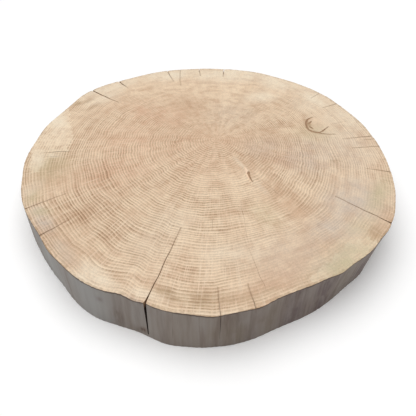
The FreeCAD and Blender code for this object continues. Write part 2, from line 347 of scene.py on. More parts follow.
def colour(name, description, hex_colour):
    """A colour property with its default as an sRGB hex value."""
    default = linear(hex_colour)
    return bpy.props.FloatVectorProperty(
        name=name, description=description, default=default, size=4, min=0.0, max=1.0, subtype="COLOR"
    )


class OakSliceShape(bpy.types.PropertyGroup):
    """How worn, fluted and uneven the slice is."""

    flute_depth: length("Flutes", "Depth of the shallow flutes that run down the peeled side", 0.38)
    fibre_depth: length("Fibres", "Depth of the fine ridges of the peeled side", 0.12)
    arris: length("Arris", "How far the sanded edge is rounded over", 0.4)
    unevenness: length("Unevenness", "How far the sanded face dips below flat", 0.3)
    check_wander: length("Check wander", "How far a check strays from a straight radius", 0.28)
    check_scale: number("Check width", "Width of every check against its measured one", 1.0)


class OakEndGrainLook(bpy.types.PropertyGroup):
    """The rings and colours of the sawn faces."""

    rings: bpy.props.IntProperty(
        name="Rings", description="Growth rings from the pith to the rim", default=72, min=5, max=300
    )
    ring_contrast: share("Ring contrast", "How dark the line of early pores in each ring is", 0.78)
    ray_contrast: share("Ray contrast", "How pale the medullary rays are", 0.45)
    latewood: colour("Latewood", "The dense pale part of each ring", "#f1d9bb")
    earlywood: colour("Earlywood", "The line of open pores in each ring", "#9b7858")
    ray: colour("Rays", "The pale rays that run out from the pith", "#efd9bf")
    heart: colour("Heartwood", "Tan heartwood about the pith", "#c39d7e")
    blush: colour("Blush", "Pinkish heartwood", "#d6a486")
    greying: colour("Greying", "Grey tint towards the rim", "#c3b8ae")
    cream: colour("Cream", "Pale wood just inside the rim", "#f0e1c9")
    olive: colour("Olive", "Greenish tint of old sapwood", "#bfb28d")
    sapwood: colour("Sapwood", "Yellowish cream sapwood", "#f1ddc1")
    stain: colour("Stain", "Brown stain left by the bark", "#8f7049")
    dirt: colour("Dirt", "Wood darkened along the checks", "#8a6547")


class OakSideLook(bpy.types.PropertyGroup):
    """The colours of the peeled side and of the split wood."""

    pale: colour("Pale", "Pale grey streaks of the peeled side", "#b1aaa3")
    grey: colour("Grey", "Grey brown of the peeled side", "#9a928c")
    smooth: colour("Smooth", "Bluish grey where the side is smooth", "#a5a3a0")
    brown: colour("Brown", "Browner streaks of the peeled side", "#94887e")
    # Painted shade in part: the purplish brown also darkens the front right of the side, where less light
    # falls.
    umber_and_shade: colour("Umber", "Purplish brown where the side is darker", "#6d5d5b")
    tawny: colour("Tawny", "Olive brown patches of the peeled side", "#7d6f5f")
    # Painted shade in part: the faint blotches on the front right darken that side, where less light falls.
    blotch_and_shade: colour("Blotch", "Brown blotches left by the inner bark", "#5c4436")
    edge_line: colour("Edge line", "Dark line of inner bark under the sanded edge", "#4a362a")
    split: colour("Split wood", "Browned wood at the mouth of a check", "#b59374")
    # Painted shade: this dark colour is laid on a check's walls from 2.5 mm below the face down to 9 mm and
    # below, where a deep gap is shaded. It also darkens some torn fibres.
    split_fibres_and_depth_shade: colour("Deep split", "Dark wood deep inside a check", "#2b1d15")
    fresh: colour("Fresh wood", "Pale wood where the chip tore off", "#f8dcc0")


class OakStageLook(bpy.types.PropertyGroup):
    """The floor, the light and the camera."""

    floor_size: length("Floor size", "Length of each side of the floor", 24000)
    floor: colour("Floor", "Matt white floor", "#e9e9e9")
    seen_floor: colour("Seen floor", "The floor as the camera sees it", "#ffffff")
    lift: share("Floor lift", "Light added to the seen floor, so that it reaches white", 0.016)
    sky: share("Sky light", "Strength of the even light from all round", 0.16)
    lamp: number("Lamp", "Strength of the soft lamp", 2.66)
    lamp_elevation: angle("Lamp elevation", "Height of the soft lamp", 84)
    lamp_bearing: angle("Lamp bearing", "Where the soft lamp stands", 141)
    lamp_spread: angle("Lamp spread", "How soft the lamp's shadow is", 72)
    camera_place: bpy.props.FloatVectorProperty(
        name="Camera",
        description="Where the camera stands",
        default=(0.0019, -0.44004, 0.40819),
        unit="LENGTH",
    )
    camera_pitch: angle("Camera pitch", "How far the camera looks down", 44.4)
    lens_mm: number("Lens", "Focal length of the camera in millimetres", 44.36)


def waves(rng, angle, along, lowest, highest, count, drift=0.0):
    """A smooth random relief round the trunk, mostly within 1 of zero, that drifts slowly along it."""
    total = 0.0
    for _ in range(count):
        turns = int(rng.integers(lowest, highest + 1))
        phase = rng.uniform(0, TURN)
        slant = rng.normal(0, drift)
        total = total + np.sin(turns * angle + phase + slant * along)
    return total / math.sqrt(count)


def dips(rng, x, y, shortest, longest, count):
    """A smooth random relief over a flat face, mostly within 1 of zero."""
    total = 0.0
    for _ in range(count):
        pitch = rng.uniform(shortest, longest)
        heading = rng.uniform(0, TURN)
        phase = rng.uniform(0, TURN)
        total = total + np.sin((x * math.cos(heading) + y * math.sin(heading)) * TURN / pitch + phase)
    return total / math.sqrt(count)


def smoothstep(value, low, high):
    """0 below the lower level and 1 above the higher one, with a soft rise between them."""
    t = np.clip((value - low) / (high - low), 0, 1)
    return t * t * (3 - 2 * t)


def about_pith(x, y):
    """Bearing and distance of points from the pith."""
    return np.arctan2(y - PITH[1], x - PITH[0]), np.hypot(x - PITH[0], y - PITH[1])


def from_pith(bearing, reach, height):
    """Points at a bearing and a distance from the pith."""
    x = PITH[0] + np.cos(bearing) * reach
    y = PITH[1] + np.sin(bearing) * reach
    return np.column_stack([x, y, np.broadcast_to(height, x.shape)])


class Outline:
    """The trunk's outline about its pith, read from the solid part at two heights."""

    LOW, HIGH = 2.0, 47.5
    # Columns to each side that bridge a check, and that smooth what was read.
    BRIDGE = 4
    SOFTEN = 2
    # Rings near the pith follow the outline's few longest waves, and turn to all of it from this share on.
    PLAIN_WAVES = 4
    PLAIN_SHARE = 0.3

    def __init__(self):
        self.bearings = np.arange(COLUMNS) * TURN / COLUMNS - math.pi
        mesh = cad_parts[NODE].data
        solid = BVHTree.FromPolygons([v.co for v in mesh.vertices], [p.vertices[:] for p in mesh.polygons])
        self.low = self.trace(solid, self.LOW) + self.bulges(2)
        self.high = self.trace(solid, self.HIGH) + self.bulges(3)
        terms = np.fft.rfft(self.high)
        terms[self.PLAIN_WAVES :] = 0
        self.plain = np.fft.irfft(terms, COLUMNS)

    def trace(self, solid, height):
        """Reach of the solid's outer face on each bearing, with the checks bridged."""
        reach = np.empty(COLUMNS)
        outside = 1.6 * MEAN_RADIUS
        for i, bearing in enumerate(self.bearings):
            out = Vector((math.cos(bearing), math.sin(bearing), 0))
            start = Vector((PITH[0], PITH[1], height)) + out * outside
            hit = solid.ray_cast(start * MM, -out)[0]
            if hit is None:
                raise RuntimeError(f"the solid has no outer face at {math.degrees(bearing):.0f} degrees")
            reach[i] = math.hypot(hit.x / MM - PITH[0], hit.y / MM - PITH[1])
        window = range(-self.BRIDGE, self.BRIDGE + 1)
        bridged = np.median([np.roll(reach, step) for step in window], axis=0)
        soft = range(-self.SOFTEN, self.SOFTEN + 1)
        return np.mean([np.roll(bridged, step) for step in soft], axis=0)

    def bulges(self, level):
        """How far the side's short bulges stand out on each bearing, at the foot or at the rim."""
        total = np.zeros(COLUMNS)
        for bulge in BULGES:
            apart = (np.degrees(self.bearings) - bulge[0] + 180) % 360 - 180
            total += bulge[level] * np.exp(-((apart / bulge[1]) ** 2))
        return total

    def reach(self, bearing, height):
        """Distance from the pith to the outline at a bearing and a height."""
        low = np.interp(bearing, self.bearings, self.low, period=TURN)
        high = np.interp(bearing, self.bearings, self.high, period=TURN)
        return low + (high - low) * (height - self.LOW) / (self.HIGH - self.LOW)

    def rings(self, x, y, height, count):
        """Ring number of each point: round the pith near it, and following the outline at the rim."""
        bearing, distance = about_pith(x, y)
        rim = self.reach(bearing, height)
        plain = np.interp(bearing, self.bearings, self.plain, period=TURN)
        follow = smoothstep(distance / rim, self.PLAIN_SHARE, 1.0)
        middle, spread, bulge, near, far, rise, fall = CREASE
        apart = np.abs((np.degrees(bearing) - middle + 180) % 360 - 180)
        inside = smoothstep(distance, near, near + rise) * (1 - smoothstep(distance, far - fall, far))
        pushed = 1 + bulge * np.exp(-apart / spread) * inside
        return count * distance / (plain + (rim - plain) * follow) / pushed


def peeled_reach(shape, outline, height):
    """Reach of the peeled side at a height, with its flutes and fibres just inside the solid's face."""
    rng = np.random.default_rng(SEED + 1)
    bearing = outline.bearings
    # The flutes are 26 to 126 mm apart, and the fibres 3 to 8 mm.
    flute = waves(rng, bearing, height, 10, 48, 16, 0.012)
    fibre = waves(rng, bearing, height, 150, 420, 22, 0.05)
    inset = shape.flute_depth / MM * (0.6 + 0.5 * flute) + shape.fibre_depth / MM * (1 + fibre)
    return outline.reach(bearing, height) - np.clip(inset, 0.02, None)


def side_row(shape, outline, height, back=0.0):
    """One row round the side. Where the edge is rounded, the row lies further in."""
    return from_pith(outline.bearings, peeled_reach(shape, outline, height) - back, height)


def face_rows(bearing, reach, height, dip_mm, steps):
    """Rows of one flat face, from its edge to the pith, with dips that are 16 to 90 mm long."""
    rows = []
    for spacing, shares in steps:
        for share_out in shares:
            rows.append(from_pith(bearing[::spacing], reach[::spacing] * share_out, height))
    rows.append(np.array([[*PITH, height]]))
    for row in rows:
        worn = dips(np.random.default_rng(SEED + 2), row[:, 0], row[:, 1], 16, 90, 18)
        row[:, 2] -= dip_mm * (0.5 + 0.5 * np.clip(worn, -1, 1))
    return rows


def worn_edge(shape, bearing):
    """How far the edge is rounded over on each bearing, with a few nicks."""
    rng = np.random.default_rng(SEED)
    wear = 1 + 0.3 * waves(rng, bearing, 0, 20, 160, 14)
    nicks = np.clip(waves(rng, bearing, 0, 60, 300, 20) - 1.4, 0, 1)
    return shape.arris / MM * (np.clip(wear, 0.4, 1.8) + 1.5 * nicks)


def slice_rows(shape, outline):
    """All rows, from the pith below over the side to the pith above, and each band's material."""
    worn = worn_edge(shape, outline.bearings)
    edges = [(worn * (1 - math.cos(a)), worn * (1 - math.sin(a))) for a in np.radians([22, 45, 68, 90])]
    lower = [side_row(shape, outline, BOTTOM + up, back) for up, back in edges]
    upper = [side_row(shape, outline, TOP - down, back) for down, back in edges[::-1]]
    heights = np.linspace(BOTTOM + SIDE_MARGIN, TOP - SIDE_MARGIN, SIDE_ROWS)
    side = [side_row(shape, outline, height) for height in heights]
    below, above = (
        face_rows(outline.bearings, peeled_reach(shape, outline, level) - worn, level, dip, steps)
        for level, dip, steps in ((BOTTOM, 0.0, LOWER_ROWS), (TOP, shape.unevenness / MM, UPPER_ROWS))
    )
    rows = below[::-1] + lower + side + upper + above
    # The sanded wood takes in the upper half of the rounded edge.
    sanded = len(above) + 2
    sawn = len(below)
    peeled = len(rows) - 1 - sanded - sawn
    return rows, [ROUGH_SAWN] * sawn + [PEELED] * peeled + [SANDED] * sanded


def join_rows(a, b, start_a, start_b):
    """Faces between two closed rows. One may have twice the columns of the other, or be a single point."""
    if a == 1:
        return [(start_a, start_b + (i + 1) % b, start_b + i) for i in range(b)]
    if b == 1:
        return [(start_a + i, start_a + (i + 1) % a, start_b) for i in range(a)]
    faces = []
    wide, narrow = (start_a, start_b) if a > b else (start_b, start_a)
    for i in range(min(a, b)):
        j = (i + 1) % min(a, b)
        if a == b:
            faces.append((start_a + i, start_a + j, start_b + j, start_b + i))
            continue
        first, middle, last = (wide + (2 * i + k) % max(a, b) for k in range(3))
        near, far = narrow + i, narrow + j
        three = [(first, middle, near), (middle, far, near), (middle, last, far)]
        faces += three if a > b else [face[::-1] for face in three]
    return faces


def closed_mesh(name, rows, band_materials):
    """A closed mesh through the rows, with the material number of each band."""
    starts = np.cumsum([0] + [len(row) for row in rows])
    faces, numbers = [], []
    for k, number in enumerate(band_materials):
        band = join_rows(len(rows[k]), len(rows[k + 1]), int(starts[k]), int(starts[k + 1]))
        faces += band
        numbers += [number] * len(band)
    mesh = bpy.data.meshes.new(name)
    mesh.from_pydata((np.concatenate(rows) * MM).tolist(), [], faces)
    mesh.polygons.foreach_set("material_index", numbers)
    mesh.update()
    return mesh


def new_object(name, data):
    """Adds an object with its data to the scene."""
    made = bpy.data.objects.new(name, data)
    bpy.context.scene.collection.objects.link(made)
    return made


class Gaps:
    """Closed solids of the gaps in the wood, gathered into one mesh."""

    # Points down each wall, and how far it stands up above the face.
    LEVELS = 7
    ABOVE = 1.2

    def __init__(self):
        self.points, self.faces, self.numbers = [], [], []

    def add(self, path, widths, depths, lean, limits, number):
        """One gap along a path, as wide at the face and as deep as given. It narrows downward."""
        thinnest, shallowest, taper = limits
        along = np.gradient(path, axis=0)
        along /= np.linalg.norm(along, axis=1)[:, None]
        side = np.column_stack([-along[:, 1], along[:, 0]])
        down = np.concatenate([[0.0], np.linspace(0, 1, self.LEVELS - 1)])
        base = len(self.points)
        for point, normal, width, depth in zip(path, side, widths.clip(thinnest), depths.clip(shallowest)):
            half = 0.5 * width * (1 - taper * down[:, None])
            centre = point + normal * (lean * down**2)[:, None]
            height = TOP - depth * down
            height[0] = TOP + self.ABOVE
            left = np.column_stack([centre + normal * half, height])
            right = np.column_stack([centre - normal * half, height])
            self.points += [*left, *right[::-1]]
        size = 2 * self.LEVELS
        last = base + (len(path) - 1) * size
        self.faces.append(tuple(range(base, base + size)))
        self.faces.append(tuple(range(last + size - 1, last - 1, -1)))
        for a in range(base, last, size):
            b = a + size
            for k in range(size):
                j = (k + 1) % size
                self.faces.append((b + k, b + j, a + j, a + k))
        self.numbers += [number] * (len(self.faces) - len(self.numbers))

    def open_in(self, piece):
        """Takes the gaps out of the piece's mesh."""
        mesh = bpy.data.meshes.new("gaps")
        mesh.from_pydata([tuple(point * MM) for point in self.points], [], self.faces)
        for material in piece.data.materials:
            mesh.materials.append(material)
        mesh.polygons.foreach_set("material_index", self.numbers)
        mesh.update()
        tool = new_object("gaps", mesh)
        cut = piece.modifiers.new("gaps", "BOOLEAN")
        cut.operation = "DIFFERENCE"
        cut.solver = "MANIFOLD"
        cut.object = tool
        whole = piece.data
        bpy.context.view_layer.update()
        opened = bpy.data.meshes.new_from_object(piece.evaluated_get(bpy.context.evaluated_depsgraph_get()))
        piece.modifiers.clear()
        if len(opened.polygons) <= len(whole.polygons):
            raise RuntimeError("the gaps were not cut")
        piece.data = opened
        bpy.data.objects.remove(tool)
        bpy.data.meshes.remove(mesh)
        bpy.data.meshes.remove(whole)
        opened.name = PIECE


def check_path(bearing, turn, near, far, spacing, wander, rng):
    """Points of a check from its outer to its inner end, straying a little, and how far inward each is."""
    stations = max(8, int((far - near) / spacing))
    inward = np.linspace(0, 1, stations)
    reach = far + (near - far) * inward
    stray = wander * waves(rng, inward * math.pi, 0, 1, 7, 6) * smoothstep(inward, 0, 0.3)
    angle = np.radians(bearing + turn * inward) + stray / reach
    return PITH + reach[:, None] * np.column_stack([np.cos(angle), np.sin(angle)]), inward


def flowing(stations, wander, rng):
    """A line of stations that runs smoothly through the given ones and strays as torn wood does."""
    given = np.array(stations)
    given = np.vstack([2 * given[0] - given[1], given, 2 * given[-1] - given[-2]])
    spans = []
    for a, b, c, d in zip(given, given[1:], given[2:], given[3:]):
        steps = max(1, round(math.dist(b[:2], c[:2]) / TORN_STEP))
        t = np.linspace(0, 1, steps, endpoint=False)[:, None]
        spans.append(b + 0.5 * t * (c - a + t * (2 * a - 5 * b + 4 * c - d + t * (3 * b - a - 3 * c + d))))
    line = np.vstack([*spans, given[-2:-1]])
    line[:, :2] += rng.normal(0, wander, (len(line), 2))
    line[:, 2] *= 1 + 0.16 * rng.normal(0, 1, len(line))
    return line


def rim_check(check, outline, scale, wander, rng):
    """A check that opens at the rim, as Gaps.add takes it.

    It is deep at the rim and as wide as it shows there. Within about 4 mm it narrows to its waist and gets
    shallow, and from there it runs out slowly.
    """
    bearing, turn, long, width, deep, waist = check
    rim = float(outline.reach(math.radians(bearing), TOP))
    path, inward = check_path(bearing, turn, rim - long, rim, CHECK_STEP, wander, rng)
    outward = path[0] - path[1]
    path = np.vstack([path[0] + outward * OVERRUN / np.linalg.norm(outward), path])
    inward = np.concatenate([[0.0], inward])
    jitter = 1 + 0.09 * rng.normal(0, 1, len(inward)) * (inward > 0)
    narrow = waist + (1 - waist) * np.exp(-0.25 * long * inward)
    widths = scale * width * narrow * (1 - 0.2 * inward - 0.45 * inward**2) * jitter
    shallow = min(deep, 0.6 + 0.9 * width) * (1 - inward**2)
    depths = shallow + (deep - shallow) * (1 - inward) ** (0.33 * long)
    return path, widths, depths, wander * rng.uniform(-2, 2), CHECK_LIMITS, SPLIT


def hairline(crack, scale, wander, rng):
    """A hairline inside the face, as Gaps.add takes it. It is finest at both ends."""
    bearing, turn, near, far, width, deep = crack
    path, inward = check_path(bearing, turn, near, far, HAIRLINE_STEP, wander, rng)
    bow = np.sin(inward * math.pi) ** 0.6
    widths = scale * width * bow * (1 + 0.2 * rng.normal(0, 1, len(inward)))
    return path, widths, deep * bow, 0.0, HAIRLINE_LIMITS, SPLIT


def torn_line(torn, wander, rng):
    """A crack of the knot or a part of the chip, as Gaps.add takes it."""
    number, *stations = torn
    line = flowing(stations, wander * 0.5, rng)
    return line[:, :2], line[:, 2], line[:, 3], 0.0, TORN_LIMITS, number


def open_gaps(piece, shape, outline):
    """Opens the checks, hairlines, knot cracks and chip, and gives the lines that dirt follows."""
    rng = np.random.default_rng(SEED)
    scale, wander = shape.check_scale, shape.check_wander / MM
    checks = {name: rim_check(check, outline, scale, wander, rng) for name, check in RIM_CHECKS.items()}
    hairlines = {name: hairline(crack, scale, wander, rng) for name, crack in HAIRLINES.items()}
    torn_lines = {name: torn_line(torn, wander, rng) for name, torn in TORN_LINES.items()}
    for crossing in (False, True):
        gaps = Gaps()
        for name, gap in (checks | hairlines | torn_lines).items():
            if (name in CROSSING) == crossing:
                gaps.add(*gap)
        gaps.open_in(piece)
    lines = [path[1:] for path, *_ in checks.values()]
    return lines + [path for path, *_, number in torn_lines.values() if number == SPLIT]


def distance_to_lines(x, y, lines, limit):
    """Distance of each point to the nearest line, up to a limit, in millimetres."""
    nearest = np.full(x.shape, float(limit))
    for line in lines:
        for a, b in zip(line[:-1], line[1:]):
            step = b - a
            t = np.clip(((x - a[0]) * step[0] + (y - a[1]) * step[1]) / (step @ step), 0, 1)
            nearest = np.minimum(nearest, np.hypot(x - a[0] - t * step[0], y - a[1] - t * step[1]))
    return nearest


def inside_outline(x, y, corners):
    """Distance to a closed outline in millimetres: above 0 inside it and below 0 outside."""
    corners = np.array(corners)
    away = distance_to_lines(x, y, [np.vstack([corners, corners[:1]])], 2 * MEAN_RADIUS)
    inside = np.zeros(x.shape, bool)
    for a, b in zip(corners, np.roll(corners, -1, axis=0)):
        crosses = (a[1] > y) != (b[1] > y)
        run = a[0] + (y - a[1]) * (b[0] - a[0]) / (b[1] - a[1] if b[1] != a[1] else 1e-9)
        inside ^= crosses & (x < run)
    return np.where(inside, away, -away)


def face_mask(x, y, spots):
    """How strongly the soft spots cover each point of a face."""
    total = np.zeros(x.shape)
    for cx, cy, along, across, heading, amount in spots:
        a = math.radians(heading)
        u = ((x - cx) * math.cos(a) + (y - cy) * math.sin(a)) / along
        v = (-(x - cx) * math.sin(a) + (y - cy) * math.cos(a)) / across
        total = np.maximum(total, amount * np.exp(-((u * u + v * v) ** 1.3)))
    return total


def side_mask(x, y, z, spots):
    """How strongly the soft spots cover each point of the side."""
    total = np.zeros(x.shape)
    for cx, cy, cz, wide, high, amount in spots:
        apart = np.hypot(x - cx, y - cy) / wide
        total = np.maximum(total, amount * np.exp(-(apart**2) - ((z - cz) / high) ** 2))
    return total


def values_of(items, name, width=1):
    """One attribute of all points, corners or faces: whole numbers, or rows of decimals."""
    values = np.empty(len(items) * width, int if width == 1 else float)
    items.foreach_get(name, values)
    return values if width == 1 else values.reshape(-1, width)


def paint_places(mesh, outline, look, lines):
    """Stores on each point the ring number and the masks that the materials read."""
    x, y, z = values_of(mesh.vertices, "co", 3).T / MM
    upper = z > (BOTTOM + TOP) / 2
    bearing, distance = about_pith(x, y)
    sapwood = np.max([inside_outline(x, y, corners) for corners in SAPWOOD], axis=0)
    values = {
        "ring": outline.rings(x, y, z, look.rings),
        "rim_mm": outline.reach(bearing, z) - distance,
        "split_mm": distance_to_lines(x, y, lines, FAR),
        "sapwood_mm": np.where(upper, sapwood, -FAR),
        "knot": np.exp(-((np.hypot(x - KNOT[0], y - KNOT[1]) / KNOT_RADIUS) ** 6)) * upper,
    }
    values |= {name: side_mask(x, y, z, spots) for name, spots in SIDE_SPOTS.items()}
    values |= {name: face_mask(x, y, spots) * upper for name, spots in FACE_SPOTS.items()}
    for name, value in values.items():
        layer = mesh.attributes.new(name, "FLOAT", "POINT")
        layer.data.foreach_set("value", value.astype(np.float32))


def lay_out_bake_map(mesh):
    """A map for baking that gives the sanded face most of the room."""
    corners = values_of(mesh.loops, "vertex_index")
    x, y, z = values_of(mesh.vertices, "co", 3)[corners].T / MM
    counts = values_of(mesh.polygons, "loop_total")
    number = np.repeat(values_of(mesh.polygons, "material_index"), counts)
    centre = values_of(mesh.polygons, "center", 3).T / MM
    middle = np.repeat(about_pith(centre[0], centre[1])[0], counts)
    bearing, distance = about_pith(x, y)
    bearing = middle + (bearing - middle + math.pi) % TURN - math.pi
    around = (bearing + math.pi) / TURN * STRIPS
    strip = np.clip(np.floor((middle + math.pi) / TURN * STRIPS), 0, STRIPS - 1)
    height = (z - BOTTOM) / (TOP - BOTTOM)
    flat = 0.5 + np.array([x, y]) / (2.1 * MEAN_RADIUS)
    places = {
        SANDED: flat,
        PEELED: (around - strip, height + STRIP_PITCH * strip),
        ROUGH_SAWN: flat,
        SPLIT: (distance / (1.3 * MEAN_RADIUS), height),
        TORN: flat,
    }
    uv = np.empty((len(corners), 2))
    for kind, (across, up) in places.items():
        left, bottom, width, tall = MAP_ROOM[kind]
        here = number == kind
        uv[here, 0], uv[here, 1] = left + width * across[here], bottom + tall * up[here]
    layer = mesh.uv_layers.new(name="OFBake")
    layer.data.foreach_set("uv", uv.clip(0, 1).ravel().astype(np.float32))


def add(tree, kind, sockets=(), stops=(), **settings):
    """Adds one node with its settings and links, and gives its outputs."""
    made = tree.nodes.new("ShaderNode" + kind)
    for name, value in settings.items():
        setattr(made, name, value)
    for name, value in sockets.items() if isinstance(sockets, dict) else enumerate(sockets):
        if isinstance(value, bpy.types.NodeSocket):
            tree.links.new(value, made.inputs[name])
        else:
            made.inputs[name].default_value = value
    for i, (place, level) in enumerate(stops):
        ramp = made.color_ramp.elements
        stop = ramp[i] if i < 2 else ramp.new(place)
        stop.position = place
        stop.color = (level, level, level, 1)
    return made.outputs


def new_tree(name):
    """An empty material and its node tree."""
    material = bpy.data.materials.new(name)
    material.use_nodes = True
    material.node_tree.nodes.clear()
    return material, material.node_tree


def unrolled(tree, along=None):
    """Millimetres on the slice, and millimetres round the trunk with its height or another length.

    The place round the trunk is a point on a circle, so that no seam shows where it closes.
    """
    place = add(tree, "TexCoord")["Object"]
    in_mm = add(tree, "VectorMath", {0: place, "Scale": 1 / MM}, operation="SCALE")[0]
    height = add(tree, "SeparateXYZ", (in_mm,))["Z"]
    away = add(tree, "VectorMath", (in_mm, (*PITH, 0)), operation="SUBTRACT")[0]
    level = add(tree, "VectorMath", (away, (1, 1, 0)), operation="MULTIPLY")[0]
    out = add(tree, "VectorMath", (level,), operation="NORMALIZE")[0]
    on_rim = add(tree, "VectorMath", {0: out, "Scale": MEAN_RADIUS}, operation="SCALE")[0]
    last = add(tree, "CombineXYZ", {"Z": along or height})[0]
    return in_mm, add(tree, "VectorMath", (on_rim, last), operation="ADD")[0], height


def grains(tree, place, size_mm, low, high, to_low=0, to_high=1, detail=2, roughness=0.5):
    """A random pattern whose grains have the given size along each axis, softly from low to high."""
    scale = tuple(1 / size for size in size_mm)
    scaled = add(tree, "VectorMath", (place, scale), operation="MULTIPLY")[0]
    settings = {"Vector": scaled, "Scale": 1, "Detail": detail, "Roughness": roughness}
    pattern = add(tree, "TexNoise", settings)[0]
    return add(tree, "MapRange", (pattern, low, high, to_low, to_high), interpolation_type="SMOOTHSTEP")[0]


def wood_surface(tree, base, roughness, relief, relief_mm, gloss):
    """The surface that every wood here shares: its colour, its roughness and its fine relief."""
    normal = add(tree, "Bump", {"Height": relief, "Distance": relief_mm * MM, "Strength": 0.8})[0]
    surface = {"Base Color": base, "Roughness": roughness, "Normal": normal}
    shader = add(tree, "BsdfPrincipled", surface | {"Specular IOR Level": gloss, "IOR": 1.5})[0]
    add(tree, "OutputMaterial", {"Surface": shader})


def layered(tree, base, covers):
    """A base colour under covers. Each has its colour, and factors that say how much of it shows."""
    for over, shown, *factors in covers:
        for factor in factors:
            shown = add(tree, "Math", (shown, factor), operation="MULTIPLY")[0]
        base = add(tree, "Mix", {0: shown, 6: base, 7: over}, data_type="RGBA")[2]
    return base


def swaying(tree, grown, in_mm, polar):
    """The ring number, shifted so that the rings sway and kink together from one to the next."""
    ring = grown
    settled = add(tree, "MapRange", (grown, 2, 16, 0, 1), interpolation_type="SMOOTHSTEP")[0]
    for shift in (
        grains(tree, in_mm, (60, 60, 60), 0.1, 0.9, -0.8, 0.8, 1),
        grains(tree, polar, (26, 26, 170), 0.1, 0.9, -0.42, 0.42, 0),
        grains(tree, polar, (10, 10, 90), 0.1, 0.9, -0.1, 0.1, 0),
        grains(tree, polar, (400, 400, 11), 0.1, 0.9, -0.5, 0.5, 1),
    ):
        shift = add(tree, "Math", (shift, settled), operation="MULTIPLY")[0]
        ring = add(tree, "Math", (ring, shift), operation="ADD")[0]
    return ring


def rings_and_rays(tree, look, grown, in_mm, polar):
    """The line of early pores in each ring, and the rays that cross them.

    The line is sharp on its inner side and fades outward. It is stronger in some years and places.
    """
    ring = swaying(tree, grown, in_mm, polar)
    year, phase = (add(tree, "Math", (ring,), operation=part)[0] for part in ("FLOOR", "FRACT"))
    levels = ((0, 0.8), (1, 0.7), (0.12, 1), (0.34, 0.75), (0.58, 0.4), (0.72, 0), (0.92, 0))
    line = add(tree, "ValToRGB", (phase,), levels)[0]
    of_year = add(tree, "TexWhiteNoise", {"W": year}, noise_dimensions="1D")["Value"]
    strengths = [
        add(tree, "MapRange", (of_year, 0, 1, 0.6, 1))[0],
        grains(tree, polar, (34, 34, 26), 0.32, 0.62, 0.7, 1.3),
        grains(tree, polar, (2, 2, 9), 0.35, 0.6, 0.6),
    ]
    for name, strength in (("knot", 0.15), ("crisp", 1.4), ("calm", 0.2)):
        mask = add(tree, "Attribute", attribute_name=name)["Fac"]
        strengths.append(add(tree, "MapRange", (mask, 0, 1, 1, strength))[0])
    for strength in strengths:
        line = add(tree, "Math", (line, strength), operation="MULTIPLY")[0]
    # Rays of oak are 0.1 to 0.4 mm wide. They are drawn 1 mm wide, so that they show. Calm spots mute them.
    rays = grains(tree, polar, (0.9, 0.9, 30), 0.54, 0.64, 0, look.ray_contrast)
    return line, add(tree, "Math", (rays, strengths[-1]), operation="MULTIPLY")[0]


def tints(tree, look, in_mm, amounts):
    """Covers of named colours, each clouded and where its soft spots are."""
    cloud = grains(tree, in_mm, (14, 14, 14), 0.2, 0.75, 0.35, 1.2, 4, 0.65)
    return [
        (getattr(look, name), add(tree, "Attribute", attribute_name=name)["Fac"], cloud, amount)
        for name, amount in amounts.items()
    ]


def sapwood_cover(tree, look, in_mm, inside):
    """A cover of mottled sapwood inside its outline, which is ragged by a few millimetres."""
    ragged = grains(tree, in_mm, (5, 5, 5), 0.2, 0.8, -3.5, 3.5, 3)
    inside = add(tree, "Math", (inside, ragged), operation="ADD")[0]
    inside = add(tree, "MapRange", (inside, -0.5, 1, 0, 1), interpolation_type="SMOOTHSTEP")[0]
    return look.sapwood, inside, grains(tree, in_mm, (7, 7, 7), 0.3, 0.66, 0.2, 0.8, 4, 0.6)


def stained_rim(tree, look, polar, rim):
    """A cover of the stain that frays inward from the rim by a millimetre or two."""
    frayed = grains(tree, polar, (6, 6, 200), 0.3, 0.7, -1.2, 2.2, 3)
    rim = add(tree, "Math", (rim, frayed), operation="SUBTRACT")[0]
    return look.stain, add(tree, "MapRange", (rim, 0.5, 1.6, 0.28, 0))[0]


def saw_marks(tree, in_mm):
    """The wavering marks that the saw left across the face, from -1 to 1."""
    cross = add(tree, "VectorMath", (in_mm, (0.91, 0.41, 0)), operation="DOT_PRODUCT")["Value"]
    waver = grains(tree, in_mm, (60, 60, 60), 0.1, 0.9, -5, 5)
    cross = add(tree, "Math", (cross, waver), operation="ADD")[0]
    cross = add(tree, "Math", (cross, TURN / SAW_STEP), operation="MULTIPLY")[0]
    return add(tree, "Math", (cross,), operation="SINE")[0]


def end_grain_covers(tree, look, contrast, in_mm, polar, line, rays):
    """The colours that lie over the latewood: heartwood, rings, rays, sapwood, stains and dirt."""
    masks = ("sapwood_mm", "rim_mm", "split_mm")
    inside, rim, beside = (add(tree, "Attribute", attribute_name=mask)["Fac"] for mask in masks)
    return [
        (look.heart, grains(tree, polar, (26, 26, 300), 0.35, 0.65, 0, 0.18)),
        (look.heart, grains(tree, polar, (30, 30, 8), 0.42, 0.7, 0, 0.45, 3)),
        (look.heart, grains(tree, in_mm, (9, 9, 9), 0.45, 0.75, 0, 0.3, 3)),
        *tints(tree, look, in_mm, {"heart": 0.6, "blush": 0.5}),
        (look.earlywood, line, contrast),
        (look.ray, rays),
        sapwood_cover(tree, look, in_mm, inside),
        *tints(tree, look, in_mm, {"greying": 0.6, "olive": 0.8, "cream": 0.8, "stain": 0.75}),
        stained_rim(tree, look, polar, rim),
        (look.dirt, add(tree, "MapRange", (beside, 0.3, 1.4, 0.3, 0))[0]),
    ]


